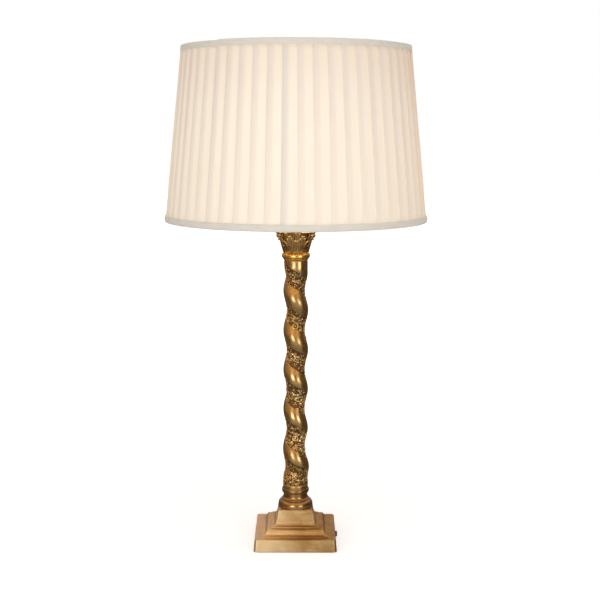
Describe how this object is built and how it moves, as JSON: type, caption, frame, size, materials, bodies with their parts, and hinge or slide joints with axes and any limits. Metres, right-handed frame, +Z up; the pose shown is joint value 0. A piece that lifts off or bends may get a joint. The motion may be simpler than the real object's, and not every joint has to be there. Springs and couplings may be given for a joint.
{
  "type": "column table lamp",
  "caption": "Brass column table lamp with a stepped square base, a twisted shaft with a leaf capital and a pleated cream shade that turns and tilts on a gimbal.",
  "frame": {"origin": "on the table under the middle of the base", "axes": "+Z up the column, -Y to the front, +X to the side with the cord inlet"},
  "size_m": [0.4612, 0.4612, 0.8865],
  "materials": {
    "antique_brass": "aged cast brass, polished on the high places, brown in the hollows",
    "bright_brass": "plain turned brass",
    "zinc_steel": "zinc plated steel",
    "iron": "rough cast iron",
    "felt": "dark green felt",
    "black_plastic": "dark moulded plastic",
    "bulb_metal": "plain bulb metal",
    "frosted_glass": "frosted glass, lit",
    "white_wire": "white coated steel wire",
    "cream_silk": "cream pleated silk",
    "white_lining": "off-white lining cloth",
    "cream_trim": "cream bound trim"
  },
  "bodies": {
    "lamp": {"felt_pad": "felt", "base_cover": "zinc_steel", "cover_screws": "zinc_steel", "base_weight": "iron", "stepped_base": "antique_brass", "cord_inlet_bush": "black_plastic", "base_nut": "zinc_steel", "earth_tag": "bright_brass", "base_washer": "zinc_steel", "threaded_tube": "zinc_steel", "column_foot": "antique_brass", "twisted_shaft": "antique_brass", "astragal_ring": "antique_brass", "leaf_capital": "antique_brass", "capital_cap": "antique_brass", "lock_nut": "bright_brass", "holder_cap": "bright_brass", "holder_body": "bright_brass", "holder_insulator": "black_plastic", "contact_plungers": "bright_brass", "plunger_springs": "zinc_steel", "lower_shade_ring": "bright_brass", "upper_shade_ring": "bright_brass"},
    "switch": {"switch_bar": "bright_brass"},
    "bulb": {"bulb_cap": "bulb_metal", "bulb_contacts": "bulb_metal", "bulb_glass": "frosted_glass"},
    "gimbal": {"gimbal_ring": "white_wire", "gimbal_rivets": "zinc_steel"},
    "shade": {"gimbal_arms": "white_wire", "frame_struts": "white_wire", "frame_bottom_ring": "white_wire", "frame_top_ring": "white_wire", "shade_cover": "cream_silk", "shade_lining": "white_lining", "shade_bottom_trim": "cream_trim", "shade_top_trim": "cream_trim"}
  },
  "joints": [
    {"name": "shade_swivel", "type": "hinge", "parent": "lamp", "child": "gimbal", "pos_m": [0, 0, 0.6261], "axis": [0, 0, 1], "continuous": true},
    {"name": "shade_tilt", "type": "hinge", "parent": "gimbal", "child": "shade", "pos_m": [0, 0, 0.6341], "axis": [1, 0, 0], "range_deg": [-20, 20]},
    {"name": "switch_push", "type": "slide", "parent": "lamp", "child": "switch", "axis": [-1, 0, 0], "range_m": [0, 0.006]},
    {"name": "bulb_turn", "type": "hinge", "parent": "lamp", "child": "bulb", "pos_m": [0, 0, 0.6337], "axis": [0, 0, 1], "range_deg": [0, 20]}
  ]
}
